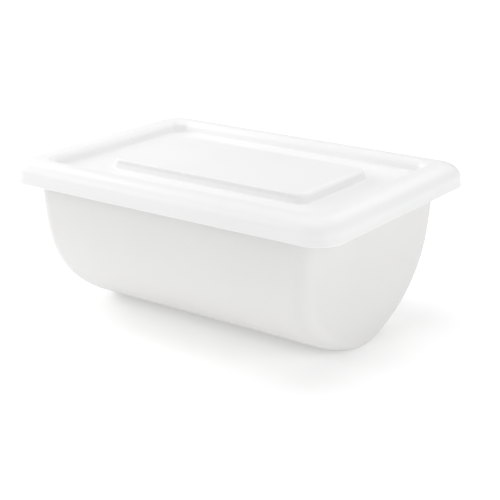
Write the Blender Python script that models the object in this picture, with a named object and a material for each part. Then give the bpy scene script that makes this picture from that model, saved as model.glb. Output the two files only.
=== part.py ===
"""Storage crate: a trough-shaped tub with a flat rim flange, and a lift-off lid.

Frame: metres, +Z up, +X along the long side.  The tub's base strip rests on
Z = 0 and the crate is centred on the Z axis, which is also the line that the
lid lifts along.
"""
import math

import bmesh
import bpy
from mathutils import Vector

# ---------------------------------------------------------------- dimensions
WALL_TUB = 0.0030            # wall of the tub
WALL_LID = 0.0025            # wall of the lid
EDGE_ROUND = 0.0012          # rounding of free edges
LEAST_STEP = 0.00045         # least height between two rings inside the wall

# tub body, outside
BODY_DEPTH = 0.2166          # base strip's edge up to the lid's lower edge
TOP_HALF_LENGTH = 0.2540
TOP_HALF_WIDTH = 0.1859
BASE_HALF_LENGTH = 0.2414
BASE_HALF_WIDTH = 0.0476     # where the curved side meets the base strip
TOP_CORNER = 0.0200          # plan radius of the body's corners
BASE_CORNER = 0.0365
END_TAPER_POWER = 0.60       # how late the end walls draw in
SIDE_CURVE_POWER = 3.54      # how far down the long sides stay upright
SIDE_CURVE_ROOT = 0.876      # how round they are where they meet the base
BASE_ROLL = 0.0015           # last roll from the side into the base strip
BASE_ROLL_RUN = 0.0075
LEVELS = (0.0, 0.006, 0.018, 0.035, 0.06, 0.09, 0.125, 0.165, 0.21, 0.26,
          0.32, 0.39, 0.47, 0.56, 0.66, 0.78, 0.90)   # up the body's depth

# lid, measured from its own lower edge
LID_HALF_LENGTH = 0.3000
LID_HALF_WIDTH = 0.2100
LID_CORNER = 0.0420
CORNER_SHRINK = 0.60         # plan radius lost per metre of inset
LID_HEIGHT = 0.0340          # lower edge to the crest of the rim
SKIRT_FLARE = 0.0020         # the skirt leans out by this much at its foot
SHOULDER_RUN = 0.0297        # rounded shoulder, inward
SHOULDER_DROP = 0.0249       # rounded shoulder, downward
SHOULDER_POWER = 2.5         # squareness of the shoulder; 2 is an ellipse
RIM_INNER = 0.0470           # rim's inner side, inset from the lid's edge
RIM_END_EXTRA = 0.0060       # wider rim at the short ends
RIM_DRAFT = 0.0010
RIM_INNER_ROUND = 0.0120
RIM_FOOT_ROUND = 0.0050
RIM_INNER_CORNER = 0.0200
RECESS_DEPTH = 0.0190        # crest down to the recess floor
PANEL_HALF_LENGTH = 0.1830
PANEL_HALF_WIDTH = 0.0920
PANEL_CORNER = 0.0180
PANEL_RISE = 0.0145          # panel above the recess floor
PANEL_DRAFT = 0.0030
PANEL_ROUND = 0.0020         # top edge along the long sides
PANEL_ROUND_LEAST = 0.0006   # the same edge on the underside
PANEL_END_ROUND = 0.0070     # softer top edge at the short ends
FOOT_ROUND = 0.0030          # fillet where the panel meets the recess floor

# rim flange of the tub, inside the lid's hollow rim
FLANGE_BELOW_RECESS = 0.0003             # flange's top to the recess's underside
FLANGE_TOP = LID_HEIGHT - RECESS_DEPTH - WALL_LID - FLANGE_BELOW_RECESS
FLANGE_HALF_LENGTH = 0.2935
FLANGE_HALF_WIDTH = 0.2035
FLANGE_CORNER = 0.0340
FLANGE_ROLL = 0.0040         # radius from the body wall out into the flange
LIP_DROP = 0.0100            # turned-down edge, from the flange's top

CORNER_STEPS = 8             # facets in each plan corner
ROUND_STEPS = 4              # facets in each small section radius
CURVE_SAMPLES = 400          # points used to work out the inside of the wall
SHARP_ANGLE = 35             # degrees; gentler edges are shaded smooth

# ----------------------------------------------------------------- materials
TUB_COLOUR = (0.80, 0.80, 0.79, 1.0)
TUB_ROUGHNESS = 0.42
LID_COLOUR = (0.84, 0.84, 0.84, 1.0)
LID_ROUGHNESS = 0.38

RIM_LEVEL = BODY_DEPTH + BASE_ROLL      # height of the lid's lower edge


# ------------------------------------------------------------------- helpers
def clear_scene():
    for obj in list(bpy.data.objects):
        bpy.data.objects.remove(obj, do_unlink=True)


def ring(half_x, half_y, radius, z):
    """Rounded rectangle, counter-clockwise seen from above."""
    points = []
    corners = ((1, 1), (-1, 1), (-1, -1), (1, -1))
    for quarter, (side_x, side_y) in enumerate(corners):
        centre_x = side_x * (half_x - radius)
        centre_y = side_y * (half_y - radius)
        for step in range(CORNER_STEPS + 1):
            angle = math.pi / 2 * (quarter + step / CORNER_STEPS)
            points.append(Vector((centre_x + radius * math.cos(angle),
                                  centre_y + radius * math.sin(angle), z)))
    return points


def loft(name, rings, colour, roughness):
    """Skin a stack of rings and cap both ends: one closed body."""
    bm = bmesh.new()
    rows = [[bm.verts.new(point) for point in points] for points in rings]
    count = len(rows[0])
    for near, far in zip(rows, rows[1:]):
        for i in range(count):
            j = (i + 1) % count
            bm.faces.new((near[i], near[j], far[j], far[i]))
    bm.faces.new(reversed(rows[0]))
    bm.faces.new(rows[-1])
    bmesh.ops.recalc_face_normals(bm, faces=bm.faces)
    mesh = bpy.data.meshes.new(name)
    bm.to_mesh(mesh)
    bm.free()
    mesh.shade_smooth()
    mesh.set_sharp_from_angle(angle=math.radians(SHARP_ANGLE))
    obj = bpy.data.objects.new(name, mesh)
    bpy.context.scene.collection.objects.link(obj)
    mesh.materials.append(plastic(name + "_plastic", colour, roughness))
    return obj


def plastic(name, colour, roughness):
    material = bpy.data.materials.new(name)
    material.use_nodes = True
    shader = material.node_tree.nodes["Principled BSDF"]
    shader.inputs["Base Color"].default_value = colour
    shader.inputs["Roughness"].default_value = roughness
    shader.inputs["Metallic"].default_value = 0.0
    return material


def arc(steps, start=0.0, end=1.0):
    """(cosine, sine) pairs from start to end quarter-turns, ends included."""
    angles = [math.pi / 2 * (start + (end - start) * k / steps)
              for k in range(steps + 1)]
    return [(math.cos(a), math.sin(a)) for a in angles]


def interpolate(table, value):
    """Linear look-up in a list of (key, result) with keys rising."""
    if value <= table[0][0]:
        return table[0][1]
    for (key0, result0), (key1, result1) in zip(table, table[1:]):
        if value <= key1:
            share = (value - key0) / (key1 - key0)
            return result0 + (result1 - result0) * share
    return table[-1][1]


# ----------------------------------------------------------------------- tub
def body_section(z):
    """Outside half length, half width and plan corner at height z."""
    depth = min(1.0, max(0.0, (RIM_LEVEL - z) / BODY_DEPTH))
    length = BASE_HALF_LENGTH + (TOP_HALF_LENGTH - BASE_HALF_LENGTH) \
        * (1.0 - depth) ** END_TAPER_POWER
    width = BASE_HALF_WIDTH + (TOP_HALF_WIDTH - BASE_HALF_WIDTH) \
        * (1.0 - depth ** SIDE_CURVE_POWER) ** SIDE_CURVE_ROOT
    corner = TOP_CORNER + (BASE_CORNER - TOP_CORNER) * depth
    if z < BASE_ROLL:
        roll = math.acos(max(0.0, z / BASE_ROLL)) / (math.pi / 2)
        length -= BASE_ROLL_RUN * roll
        width -= BASE_ROLL_RUN * roll
    return length, width, corner


def body_heights():
    """Levels up the body, closer together near the base."""
    return [0.0, BASE_ROLL / 2] + [BASE_ROLL + BODY_DEPTH * k for k in LEVELS]


def inside_curve(axis):
    """(height, half size) of the wall's inside, one wall in from the outside.

    axis 0 is the half length, axis 1 the half width.
    """
    outside = [(RIM_LEVEL * k / CURVE_SAMPLES,
                body_section(RIM_LEVEL * k / CURVE_SAMPLES)[axis])
               for k in range(CURVE_SAMPLES + 1)]
    moved = []
    for before, here, after in zip(outside, outside[1:], outside[2:]):
        rise = after[0] - before[0]
        spread = after[1] - before[1]
        step = math.hypot(rise, spread)
        moved.append((here[0] + WALL_TUB * spread / step,
                      here[1] - WALL_TUB * rise / step))
    moved.sort()
    return moved


def body_inside():
    """Rings down the inside of the body, from the rim level to the floor."""
    lengths, widths = inside_curve(0), inside_curve(1)
    heights = [WALL_TUB, WALL_TUB + LEAST_STEP]
    heights += [z for z in body_heights() if z > heights[-1] + LEAST_STEP]
    heights.append(RIM_LEVEL)
    return [ring(interpolate(lengths, z), interpolate(widths, z),
                 body_section(z)[2] - WALL_TUB, z)
            for z in reversed(heights)]


def flange(half_x, half_y, corner):
    """Rings out along the flange's underside, round the lip and back in."""
    top = RIM_LEVEL + FLANGE_TOP
    under = top - WALL_TUB
    foot = top - LIP_DROP
    sections = []
    for cos, sin in arc(ROUND_STEPS):
        grow = FLANGE_ROLL * (1.0 - cos)
        sections.append((half_x + grow, half_y + grow, corner + grow,
                         under - FLANGE_ROLL * (1.0 - sin)))
    outline = (FLANGE_HALF_LENGTH, FLANGE_HALF_WIDTH, FLANGE_CORNER)
    lip = [(WALL_TUB, under), (WALL_TUB, foot + EDGE_ROUND),
           (WALL_TUB - EDGE_ROUND, foot), (EDGE_ROUND, foot),
           (0.0, foot + EDGE_ROUND)]
    lip += [(WALL_TUB * (1.0 - cos), under + WALL_TUB * sin)
            for cos, sin in arc(ROUND_STEPS)]
    for inset, z in lip:
        sections.append((*[size - inset for size in outline], z))
    for cos, sin in arc(ROUND_STEPS, 1.0, 0.0):
        back = EDGE_ROUND * (1.0 - cos) - WALL_TUB
        sections.append((half_x + back, half_y + back, corner + back,
                         top - EDGE_ROUND * (1.0 - sin)))
    return [ring(*section) for section in sections]


def tub_rings():
    rings = [ring(*body_section(z), z) for z in body_heights()]
    rim = body_section(RIM_LEVEL)
    rings.append(ring(*rim, RIM_LEVEL))
    rings += flange(*rim)
    rings += body_inside()
    return rings


# ----------------------------------------------------------------------- lid
def rounded_edge(drop, radius):
    """How far a quarter-round edge lies inside its wall, drop below its top."""
    rest = max(0.0, radius - drop)
    return radius - math.sqrt(radius ** 2 - rest ** 2)


def panel_sections(z_floor, grow):
    """Raised panel from its top edge down to the recess floor.

    grow is 0 on the upper surface; on the lower one it is minus the wall, so
    that convex rounds tighten and concave ones open.
    """
    top = z_floor + PANEL_RISE
    side_round = max(PANEL_ROUND + grow, PANEL_ROUND_LEAST)
    end_round = PANEL_END_ROUND + grow
    drops = [side_round * (1.0 - sin) for _, sin in arc(ROUND_STEPS, 1.0, 0.0)]
    drops += [side_round + (end_round - side_round) * step / ROUND_STEPS
              for step in range(1, ROUND_STEPS + 1)]
    out = []
    for drop in drops:
        end_inset = rounded_edge(drop, end_round) - grow
        side_inset = rounded_edge(drop, side_round) - grow
        out.append((PANEL_HALF_LENGTH - end_inset, PANEL_HALF_WIDTH - side_inset,
                    PANEL_CORNER - side_inset, top - drop))
    foot = FOOT_ROUND - grow
    for cos, sin in arc(ROUND_STEPS):
        spread = PANEL_DRAFT + FOOT_ROUND - foot * cos
        out.append((PANEL_HALF_LENGTH + spread, PANEL_HALF_WIDTH + spread,
                    PANEL_CORNER + spread, z_floor + foot * (1.0 - sin)))
    return out


def rim_sections(z_floor, grow):
    """Inner side of the raised rim, from the recess floor to the crest."""
    crest = z_floor + RECESS_DEPTH
    foot = RIM_FOOT_ROUND - grow
    brow = RIM_INNER_ROUND + grow
    out = []
    for cos, sin in arc(ROUND_STEPS, 1.0, 0.0):
        inset = RIM_INNER + RIM_DRAFT + RIM_FOOT_ROUND - foot * cos
        out.append(lid_inset(inset, z_floor + foot * (1.0 - sin)))
    for cos, sin in arc(ROUND_STEPS):
        inset = RIM_INNER - RIM_INNER_ROUND + brow * cos
        out.append(lid_inset(inset, crest - brow * (1.0 - sin)))
    return out


def shoulder_sections(grow):
    """Rounded shoulder, from the crest out and down to the skirt."""
    run = SHOULDER_RUN + grow
    drop = SHOULDER_DROP + grow
    power = 2.0 / SHOULDER_POWER
    out = []
    for cos, sin in arc(2 * ROUND_STEPS, 1.0, 0.0):
        inset = SKIRT_FLARE + SHOULDER_RUN - run * abs(cos) ** power
        z = LID_HEIGHT - SHOULDER_DROP + drop * abs(sin) ** power
        out.append(lid_inset(inset, z))
    return out


def lid_inset(inset, z):
    """Section that far in from the lid's edge.

    The recess has corners of its own and stops earlier at the short ends.
    """
    shoulder_end = SKIRT_FLARE + SHOULDER_RUN
    crest_start = RIM_INNER - RIM_INNER_ROUND
    half_length = LID_HALF_LENGTH - inset
    corner = LID_CORNER - CORNER_SHRINK * inset
    if inset > (shoulder_end + crest_start) / 2:
        half_length -= RIM_END_EXTRA
        corner = RIM_INNER_CORNER - (inset - RIM_INNER)
    return half_length, LID_HALF_WIDTH - inset, corner, z


def lid_rings():
    floor = LID_HEIGHT - RECESS_DEPTH
    half_round = EDGE_ROUND / 2
    upper = panel_sections(floor, 0.0) + rim_sections(floor, 0.0)
    upper += shoulder_sections(0.0)
    upper += [lid_inset(0.0, EDGE_ROUND), lid_inset(half_round, 0.0)]
    lower = panel_sections(floor - WALL_LID, -WALL_LID)
    lower += rim_sections(floor - WALL_LID, -WALL_LID)
    lower += shoulder_sections(-WALL_LID)
    lower += [lid_inset(WALL_LID, EDGE_ROUND),
              lid_inset(WALL_LID - half_round, 0.0)]
    return [ring(x, y, corner, RIM_LEVEL + z)
            for x, y, corner, z in upper + lower[::-1]]


# --------------------------------------------------------------------- build
def build():
    clear_scene()
    loft("tub", tub_rings(), TUB_COLOUR, TUB_ROUGHNESS)
    loft("lid", lid_rings(), LID_COLOUR, LID_ROUGHNESS)


build()
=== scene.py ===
"""Looks of the storage crate: a fine tub and lid in moulded white plastic."""
import math

import bmesh
import bpy
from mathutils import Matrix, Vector


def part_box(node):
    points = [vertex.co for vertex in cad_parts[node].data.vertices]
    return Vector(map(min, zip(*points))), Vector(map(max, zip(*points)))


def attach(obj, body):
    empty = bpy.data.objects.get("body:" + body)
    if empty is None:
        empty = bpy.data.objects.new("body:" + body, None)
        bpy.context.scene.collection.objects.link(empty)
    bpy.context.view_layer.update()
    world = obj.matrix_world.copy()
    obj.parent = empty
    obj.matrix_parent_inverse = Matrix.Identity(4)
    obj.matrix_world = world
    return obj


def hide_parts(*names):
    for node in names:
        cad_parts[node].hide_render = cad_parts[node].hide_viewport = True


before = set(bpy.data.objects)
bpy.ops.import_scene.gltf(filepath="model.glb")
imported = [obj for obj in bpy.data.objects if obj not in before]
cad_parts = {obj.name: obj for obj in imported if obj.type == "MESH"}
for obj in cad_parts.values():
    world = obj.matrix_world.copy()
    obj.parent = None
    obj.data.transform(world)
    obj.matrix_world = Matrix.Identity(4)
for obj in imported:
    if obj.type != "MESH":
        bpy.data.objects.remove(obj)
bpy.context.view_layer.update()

# ------------------------------------------------- sizes, metres, as in CAD
WALL_TUB = 0.0030
WALL_LID = 0.0025
EDGE_ROUND = 0.0012
LEAST_STEP = 0.00045         # least height between two rings inside the wall

BASE_ROLL = 0.0015
BASE_ROLL_RUN = 0.0075
RIM_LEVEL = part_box("lid")[0].z          # height of the lid's lower edge
BODY_DEPTH = RIM_LEVEL - BASE_ROLL
TOP_HALF_LENGTH = 0.2540
TOP_HALF_WIDTH = 0.1859
BASE_HALF_LENGTH = 0.2414
BASE_HALF_WIDTH = 0.0476
TOP_CORNER = 0.0200
BASE_CORNER = 0.0365
END_TAPER_POWER = 0.60
SIDE_CURVE_POWER = 3.54
SIDE_CURVE_ROOT = 0.876

LID_HALF_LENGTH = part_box("lid")[1].x
LID_HALF_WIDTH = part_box("lid")[1].y
LID_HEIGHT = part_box("lid")[1].z - RIM_LEVEL
LID_CORNER = 0.0420
CORNER_SHRINK = 0.60
SKIRT_FLARE = 0.0020
SHOULDER_RUN = 0.0297
SHOULDER_DROP = 0.0249
SHOULDER_POWER = 2.5         # squareness of the shoulder; 2 is an ellipse
RIM_INNER = 0.0470
RIM_END_EXTRA = 0.0060       # wider rim at the short ends
RIM_DRAFT = 0.0010
RIM_INNER_ROUND = 0.0120
RIM_FOOT_ROUND = 0.0050
RIM_INNER_CORNER = 0.0200
RECESS_DEPTH = 0.0190
PANEL_HALF_LENGTH = 0.1830
PANEL_HALF_WIDTH = 0.0920
PANEL_CORNER = 0.0180
PANEL_RISE = 0.0145
PANEL_DRAFT = 0.0030
PANEL_ROUND = 0.0020
PANEL_ROUND_LEAST = 0.0006   # the same edge on the underside
PANEL_END_ROUND = 0.0070
FOOT_ROUND = 0.0030

FLANGE_BELOW_RECESS = 0.0003
FLANGE_TOP = LID_HEIGHT - RECESS_DEPTH - WALL_LID - FLANGE_BELOW_RECESS
FLANGE_HALF_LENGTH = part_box("tub")[1].x
FLANGE_HALF_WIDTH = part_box("tub")[1].y
FLANGE_CORNER = 0.0340
FLANGE_ROLL = 0.0040
LIP_DROP = 0.0100

CORNER_STEPS = 20
ROUND_STEPS = 8
ROLL_LEVELS = 4              # rings in the last roll into the base strip
BODY_LEVELS = 56
LEVEL_CROWDING = 2           # how much closer the levels lie near the base
CURVE_SAMPLES = 1200
SIDE_STEP = 0.012            # spacing of points along straight sides
SHARP_ANGLE = 40             # degrees; gentler edges are shaded smooth

# moulded polypropylene
# the tub's tint is set darker than the lid's so its sides come out as dark as
# the shade under the lid: painted shade over the same white plastic
SHADED_TUB_TINT = (0.80, 0.795, 0.79)
TUB_ROUGHNESS = 0.42
LID_TINT = (0.90, 0.90, 0.90)
LID_ROUGHNESS = 0.36
PLASTIC_IOR = 1.49
MOTTLE_SCALE = 7.0
MOTTLE_DETAIL = 3.0
MOTTLE_RANGE = (0.3, 0.7)    # part of the noise that the mottle runs over
MOTTLE_DARKEST = 0.985       # share of the tint left in the darkest patches
GLOSS_SPREAD = 0.03          # roughness, either way
GRAIN_SCALE = 900.0
GRAIN_DETAIL = 2.0
GRAIN_STRENGTH = 0.08
GRAIN_HEIGHT = 0.0002

# pale paper sweep
FLOOR_HALF_SIZE = 8.0
FLOOR_TINT = (0.95, 0.95, 0.95)
FLOOR_ROUGHNESS = 0.9
# the sweep gives off painted light: emission that brightens the floor, softens
# the crate's contact shadow and grows with distance
GLOW_NEAR = 0.20             # painted glow of the sweep itself, at the crate
GLOW_FAR = 0.55
GLOW_START = 1.0             # metres from the crate where it begins to grow
GLOW_END = 3.0

# camera, in degrees, metres and image widths
VIEW_AZIMUTH = 35.82
VIEW_ELEVATION = 18.71
VIEW_DISTANCE = 1.982
VIEW_RIGHT = 0.01958
VIEW_UP = -0.1079
FOCAL_PER_WIDTH = 2.52
SENSOR = 36.0

# soft studio light: name, place, aimed at, panel size, watts
WORLD_STRENGTH = 0.50
LIGHTS = (
    ("close_left", (-0.50, 0.0, 0.62), (0, 0, 0.24), (0.16, 0.30), 0.32),
    ("front_left", (-1.6, -1.6, 1.2), (0, 0, 0.15), (1.2, 1.2), 11.6),
    ("left", (-2.2, 0.0, 1.0), (0, 0, 0.15), (1.0, 1.0), 13.4),
    ("right", (2.2, -0.3, 1.0), (0, 0, 0.15), (1.2, 1.2), 9.4),
    ("top", (0.0, 0.0, 2.4), (0, 0, 0), (1.6, 1.6), 15.6),
    ("back", (0.0, 1.9, 1.7), (0, 0, 0.2), (1.6, 1.0), 7.8),
)


# ------------------------------------------------------------------- shapes
def ring(half_x, half_y, radius, z):
    """Rounded rectangle, counter-clockwise seen from above."""
    arcs = []
    corners = ((1, 1), (-1, 1), (-1, -1), (1, -1))
    for quarter, (side_x, side_y) in enumerate(corners):
        centre = Vector((side_x * (half_x - radius),
                         side_y * (half_y - radius), z))
        angles = [math.pi / 2 * (quarter + step / CORNER_STEPS)
                  for step in range(CORNER_STEPS + 1)]
        arcs.append([centre + radius * Vector((math.cos(a), math.sin(a), 0))
                     for a in angles])
    return arcs


def fill_sides(rings):
    """Adds the same number of points along each side of every ring."""
    long_count = int(2 * LID_HALF_LENGTH / SIDE_STEP)
    short_count = int(2 * LID_HALF_WIDTH / SIDE_STEP)
    filled = []
    for arcs in rings:
        points = []
        for index, arc_points in enumerate(arcs):
            points += arc_points
            start, end = arc_points[-1], arcs[(index + 1) % 4][0]
            count = long_count if index % 2 == 0 else short_count
            points += [start.lerp(end, k / (count + 1))
                       for k in range(1, count + 1)]
        filled.append(points)
    return filled


def loft(name, rings):
    """Skin a stack of rings and cap both ends: one closed body."""
    bm = bmesh.new()
    rows = [[bm.verts.new(point) for point in points]
            for points in fill_sides(rings)]
    count = len(rows[0])
    for near, far in zip(rows, rows[1:]):
        for i in range(count):
            j = (i + 1) % count
            bm.faces.new((near[i], near[j], far[j], far[i]))
    bm.faces.new(reversed(rows[0]))
    bm.faces.new(rows[-1])
    bmesh.ops.recalc_face_normals(bm, faces=bm.faces)
    mesh = bpy.data.meshes.new(name)
    bm.to_mesh(mesh)
    bm.free()
    mesh.shade_smooth()
    mesh.set_sharp_from_angle(angle=math.radians(SHARP_ANGLE))
    obj = bpy.data.objects.new(name, mesh)
    bpy.context.scene.collection.objects.link(obj)
    return obj


def arc(steps, start=0.0, end=1.0):
    """(cosine, sine) pairs from start to end quarter-turns, ends included."""
    angles = [math.pi / 2 * (start + (end - start) * k / steps)
              for k in range(steps + 1)]
    return [(math.cos(a), math.sin(a)) for a in angles]


def interpolate(table, value):
    """Linear look-up in a list of (key, result) with keys rising."""
    if value <= table[0][0]:
        return table[0][1]
    for (key0, result0), (key1, result1) in zip(table, table[1:]):
        if value <= key1:
            share = (value - key0) / (key1 - key0)
            return result0 + (result1 - result0) * share
    return table[-1][1]


# ----------------------------------------------------------------------- tub
def body_section(z):
    """Outside half length, half width and plan corner at height z."""
    depth = min(1.0, max(0.0, (RIM_LEVEL - z) / BODY_DEPTH))
    length = BASE_HALF_LENGTH + (TOP_HALF_LENGTH - BASE_HALF_LENGTH) \
        * (1.0 - depth) ** END_TAPER_POWER
    width = BASE_HALF_WIDTH + (TOP_HALF_WIDTH - BASE_HALF_WIDTH) \
        * (1.0 - depth ** SIDE_CURVE_POWER) ** SIDE_CURVE_ROOT
    corner = TOP_CORNER + (BASE_CORNER - TOP_CORNER) * depth
    if z < BASE_ROLL:
        roll = math.acos(max(0.0, z / BASE_ROLL)) / (math.pi / 2)
        length -= BASE_ROLL_RUN * roll
        width -= BASE_ROLL_RUN * roll
    return length, width, corner


def body_heights():
    """Levels up the body, closer together near the base."""
    roll = [BASE_ROLL * k / ROLL_LEVELS for k in range(ROLL_LEVELS)]
    return roll + [BASE_ROLL + BODY_DEPTH * (k / BODY_LEVELS) ** LEVEL_CROWDING
                   for k in range(BODY_LEVELS)]


def inside_curve(axis):
    """(height, half size) of the wall's inside, one wall in from outside."""
    outside = [(RIM_LEVEL * k / CURVE_SAMPLES,
                body_section(RIM_LEVEL * k / CURVE_SAMPLES)[axis])
               for k in range(CURVE_SAMPLES + 1)]
    moved = []
    for before, here, after in zip(outside, outside[1:], outside[2:]):
        rise = after[0] - before[0]
        spread = after[1] - before[1]
        step = math.hypot(rise, spread)
        moved.append((here[0] + WALL_TUB * spread / step,
                      here[1] - WALL_TUB * rise / step))
    moved.sort()
    return moved


def body_inside():
    """Rings down the inside of the body, from the rim level to the floor."""
    lengths, widths = inside_curve(0), inside_curve(1)
    heights = [WALL_TUB, WALL_TUB + LEAST_STEP]
    heights += [z for z in body_heights() if z > heights[-1] + LEAST_STEP]
    heights.append(RIM_LEVEL)
    return [ring(interpolate(lengths, z), interpolate(widths, z),
                 body_section(z)[2] - WALL_TUB, z)
            for z in reversed(heights)]


def flange(half_x, half_y, corner):
    """Rings out along the flange's underside, round the lip and back in."""
    top = RIM_LEVEL + FLANGE_TOP
    under = top - WALL_TUB
    foot = top - LIP_DROP
    sections = []
    for cos, sin in arc(ROUND_STEPS):
        grow = FLANGE_ROLL * (1.0 - cos)
        sections.append((half_x + grow, half_y + grow, corner + grow,
                         under - FLANGE_ROLL * (1.0 - sin)))
    outline = (FLANGE_HALF_LENGTH, FLANGE_HALF_WIDTH, FLANGE_CORNER)
    lip = [(WALL_TUB, under), (WALL_TUB, foot + EDGE_ROUND)]
    lip += [(WALL_TUB - EDGE_ROUND * (1 - cos), foot + EDGE_ROUND * (1 - sin))
            for cos, sin in arc(ROUND_STEPS)]
    lip += [(EDGE_ROUND * (1 - cos), foot + EDGE_ROUND * (1 - sin))
            for cos, sin in arc(ROUND_STEPS, 1.0, 0.0)]
    lip += [(WALL_TUB * (1.0 - cos), under + WALL_TUB * sin)
            for cos, sin in arc(ROUND_STEPS)]
    for inset, z in lip:
        sections.append((*[size - inset for size in outline], z))
    for cos, sin in arc(ROUND_STEPS, 1.0, 0.0):
        back = EDGE_ROUND * (1.0 - cos) - WALL_TUB
        sections.append((half_x + back, half_y + back, corner + back,
                         top - EDGE_ROUND * (1.0 - sin)))
    return [ring(*section) for section in sections]


def make_tub():
    rings = [ring(*body_section(z), z) for z in body_heights()]
    rim = body_section(RIM_LEVEL)
    rings.append(ring(*rim, RIM_LEVEL))
    rings += flange(*rim)
    rings += body_inside()
    return loft("tub_moulding", rings)


# ----------------------------------------------------------------------- lid
def rounded_edge(drop, radius):
    """How far a quarter-round edge lies inside its wall, drop below its top."""
    rest = max(0.0, radius - drop)
    return radius - math.sqrt(radius ** 2 - rest ** 2)


def panel_sections(z_floor, grow):
    """Raised panel from its top edge down to the recess floor.

    grow is 0 on the upper surface; on the lower one it is minus the wall, so
    that convex rounds tighten and concave ones open.
    """
    top = z_floor + PANEL_RISE
    side_round = max(PANEL_ROUND + grow, PANEL_ROUND_LEAST)
    end_round = PANEL_END_ROUND + grow
    drops = [side_round * (1.0 - sin) for _, sin in arc(ROUND_STEPS, 1.0, 0.0)]
    drops += [side_round + (end_round - side_round) * step / ROUND_STEPS
              for step in range(1, ROUND_STEPS + 1)]
    out = []
    for drop in drops:
        end_inset = rounded_edge(drop, end_round) - grow
        side_inset = rounded_edge(drop, side_round) - grow
        out.append((PANEL_HALF_LENGTH - end_inset, PANEL_HALF_WIDTH - side_inset,
                    PANEL_CORNER - side_inset, top - drop))
    foot = FOOT_ROUND - grow
    for cos, sin in arc(ROUND_STEPS):
        spread = PANEL_DRAFT + FOOT_ROUND - foot * cos
        out.append((PANEL_HALF_LENGTH + spread, PANEL_HALF_WIDTH + spread,
                    PANEL_CORNER + spread, z_floor + foot * (1.0 - sin)))
    return out


def rim_sections(z_floor, grow):
    """Inner side of the raised rim, from the recess floor to the crest."""
    crest = z_floor + RECESS_DEPTH
    foot = RIM_FOOT_ROUND - grow
    brow = RIM_INNER_ROUND + grow
    out = []
    for cos, sin in arc(ROUND_STEPS, 1.0, 0.0):
        inset = RIM_INNER + RIM_DRAFT + RIM_FOOT_ROUND - foot * cos
        out.append(lid_inset(inset, z_floor + foot * (1.0 - sin)))
    for cos, sin in arc(ROUND_STEPS):
        inset = RIM_INNER - RIM_INNER_ROUND + brow * cos
        out.append(lid_inset(inset, crest - brow * (1.0 - sin)))
    return out


def shoulder_sections(grow):
    """Rounded shoulder, from the crest out and down to the skirt."""
    run = SHOULDER_RUN + grow
    drop = SHOULDER_DROP + grow
    power = 2.0 / SHOULDER_POWER
    out = []
    for cos, sin in arc(3 * ROUND_STEPS, 1.0, 0.0):
        inset = SKIRT_FLARE + SHOULDER_RUN - run * abs(cos) ** power
        z = LID_HEIGHT - SHOULDER_DROP + drop * abs(sin) ** power
        out.append(lid_inset(inset, z))
    return out


def lid_inset(inset, z):
    """Section that far in from the lid's edge.

    The recess has corners of its own and stops earlier at the short ends.
    """
    shoulder_end = SKIRT_FLARE + SHOULDER_RUN
    crest_start = RIM_INNER - RIM_INNER_ROUND
    half_length = LID_HALF_LENGTH - inset
    corner = LID_CORNER - CORNER_SHRINK * inset
    if inset > (shoulder_end + crest_start) / 2:
        half_length -= RIM_END_EXTRA
        corner = RIM_INNER_CORNER - (inset - RIM_INNER)
    return half_length, LID_HALF_WIDTH - inset, corner, z


def make_lid():
    floor = LID_HEIGHT - RECESS_DEPTH
    half_round = EDGE_ROUND / 2
    upper = panel_sections(floor, 0.0) + rim_sections(floor, 0.0)
    upper += shoulder_sections(0.0)
    upper += [lid_inset(0.0, EDGE_ROUND), lid_inset(half_round, 0.0)]
    lower = panel_sections(floor - WALL_LID, -WALL_LID)
    lower += rim_sections(floor - WALL_LID, -WALL_LID)
    lower += shoulder_sections(-WALL_LID)
    lower += [lid_inset(WALL_LID, EDGE_ROUND),
              lid_inset(WALL_LID - half_round, 0.0)]
    return loft("lid_moulding", [ring(x, y, corner, RIM_LEVEL + z)
                                 for x, y, corner, z in upper + lower[::-1]])


# ----------------------------------------------------------------- materials
def white_plastic(name, tint, roughness):
    """Moulded polypropylene: faint mottling, slightly uneven gloss."""
    material = bpy.data.materials.new(name)
    material.use_nodes = True
    nodes, links = material.node_tree.nodes, material.node_tree.links
    shader = nodes["Principled BSDF"]
    coords = nodes.new("ShaderNodeTexCoord")

    cloud = nodes.new("ShaderNodeTexNoise")
    cloud.inputs["Scale"].default_value = MOTTLE_SCALE
    cloud.inputs["Detail"].default_value = MOTTLE_DETAIL
    links.new(coords.outputs["Object"], cloud.inputs["Vector"])
    ramp = nodes.new("ShaderNodeValToRGB")
    darkest, lightest = ramp.color_ramp.elements
    darkest.position, lightest.position = MOTTLE_RANGE
    darkest.color = [c * MOTTLE_DARKEST for c in tint] + [1]
    lightest.color = [*tint, 1]
    links.new(cloud.outputs["Fac"], ramp.inputs["Fac"])
    links.new(ramp.outputs["Color"], shader.inputs["Base Color"])

    grain = nodes.new("ShaderNodeTexNoise")
    grain.inputs["Scale"].default_value = GRAIN_SCALE
    grain.inputs["Detail"].default_value = GRAIN_DETAIL
    links.new(coords.outputs["Object"], grain.inputs["Vector"])
    gloss = nodes.new("ShaderNodeMapRange")
    gloss.inputs["To Min"].default_value = roughness - GLOSS_SPREAD
    gloss.inputs["To Max"].default_value = roughness + GLOSS_SPREAD
    links.new(cloud.outputs["Fac"], gloss.inputs["Value"])
    links.new(gloss.outputs["Result"], shader.inputs["Roughness"])
    bump = nodes.new("ShaderNodeBump")
    bump.inputs["Strength"].default_value = GRAIN_STRENGTH
    bump.inputs["Distance"].default_value = GRAIN_HEIGHT
    links.new(grain.outputs["Fac"], bump.inputs["Height"])
    links.new(bump.outputs["Normal"], shader.inputs["Normal"])
    shader.inputs["IOR"].default_value = PLASTIC_IOR
    return material


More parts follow.
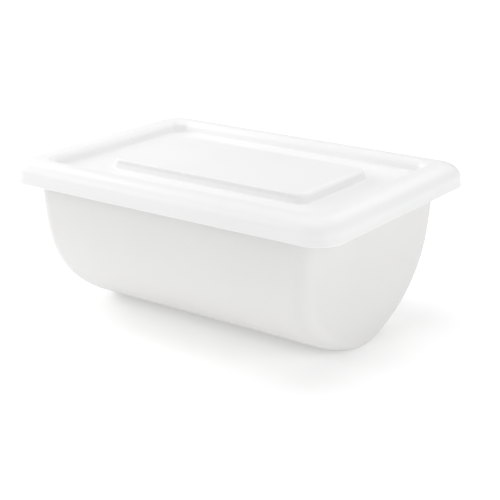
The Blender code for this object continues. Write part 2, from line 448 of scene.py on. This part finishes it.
def pale_sweep(name):
    """Matt white paper with a painted glow of its own, weak at the crate and
    stronger further off.
    """
    material = bpy.data.materials.new(name)
    material.use_nodes = True
    nodes, links = material.node_tree.nodes, material.node_tree.links
    shader = nodes["Principled BSDF"]
    shader.inputs["Base Color"].default_value = (*FLOOR_TINT, 1)
    shader.inputs["Roughness"].default_value = FLOOR_ROUGHNESS
    shader.inputs["Emission Color"].default_value = (1, 1, 1, 1)
    coords = nodes.new("ShaderNodeTexCoord")
    distance = nodes.new("ShaderNodeVectorMath")
    distance.operation = "LENGTH"
    links.new(coords.outputs["Object"], distance.inputs[0])
    glow = nodes.new("ShaderNodeMapRange")
    glow.inputs["From Min"].default_value = GLOW_START
    glow.inputs["From Max"].default_value = GLOW_END
    glow.inputs["To Min"].default_value = GLOW_NEAR
    glow.inputs["To Max"].default_value = GLOW_FAR
    links.new(distance.outputs["Value"], glow.inputs["Value"])
    links.new(glow.outputs["Result"], shader.inputs["Emission Strength"])
    return material


# --------------------------------------------------------------------- stage
def make_floor():
    mesh = bpy.data.meshes.new("floor")
    half = FLOOR_HALF_SIZE
    corners = [(-half, -half, 0), (half, -half, 0), (half, half, 0),
               (-half, half, 0)]
    mesh.from_pydata(corners, [], [(0, 1, 2, 3)])
    floor = bpy.data.objects.new("floor", mesh)
    bpy.context.scene.collection.objects.link(floor)
    mesh.materials.append(pale_sweep("floor_pale"))


def make_camera():
    azimuth = math.radians(VIEW_AZIMUTH)
    elevation = math.radians(VIEW_ELEVATION)
    back = Vector((math.sin(azimuth) * math.cos(elevation),
                   -math.cos(azimuth) * math.cos(elevation),
                   math.sin(elevation)))
    right = Vector((math.cos(azimuth), math.sin(azimuth), 0))
    data = bpy.data.cameras.new("camera")
    data.sensor_width = SENSOR
    data.lens = SENSOR * FOCAL_PER_WIDTH
    camera = bpy.data.objects.new("camera", data)
    camera.location = Vector((0, 0, RIM_LEVEL)) + back * VIEW_DISTANCE \
        + right * VIEW_RIGHT + back.cross(right) * VIEW_UP
    camera.rotation_mode = "QUATERNION"
    camera.rotation_quaternion = (-back).to_track_quat("-Z", "Y")
    bpy.context.scene.collection.objects.link(camera)
    bpy.context.scene.camera = camera


def area_light(name, place, target, size, power):
    data = bpy.data.lights.new(name, "AREA")
    data.shape = "RECTANGLE"
    data.size, data.size_y = size
    data.energy = power
    light = bpy.data.objects.new(name, data)
    light.location = place
    aim = Vector(target) - Vector(place)
    light.rotation_mode = "QUATERNION"
    light.rotation_quaternion = aim.to_track_quat("-Z", "Y")
    bpy.context.scene.collection.objects.link(light)


def make_world(strength):
    world = bpy.data.worlds.new("studio")
    world.use_nodes = True
    background = world.node_tree.nodes["Background"]
    background.inputs["Color"].default_value = (1, 1, 1, 1)
    background.inputs["Strength"].default_value = strength
    bpy.context.scene.world = world


# ---------------------------------------------------------------------- main
tub = make_tub()
tub.data.materials.append(white_plastic("tub_plastic", SHADED_TUB_TINT, TUB_ROUGHNESS))
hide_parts("tub")
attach(tub, "tub")

lid = make_lid()
lid.data.materials.append(white_plastic("lid_plastic", LID_TINT, LID_ROUGHNESS))
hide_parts("lid")
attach(lid, "lid")

make_floor()
make_camera()
bpy.context.scene.view_settings.view_transform = "Standard"
make_world(WORLD_STRENGTH)
for light in LIGHTS:
    area_light(*light)
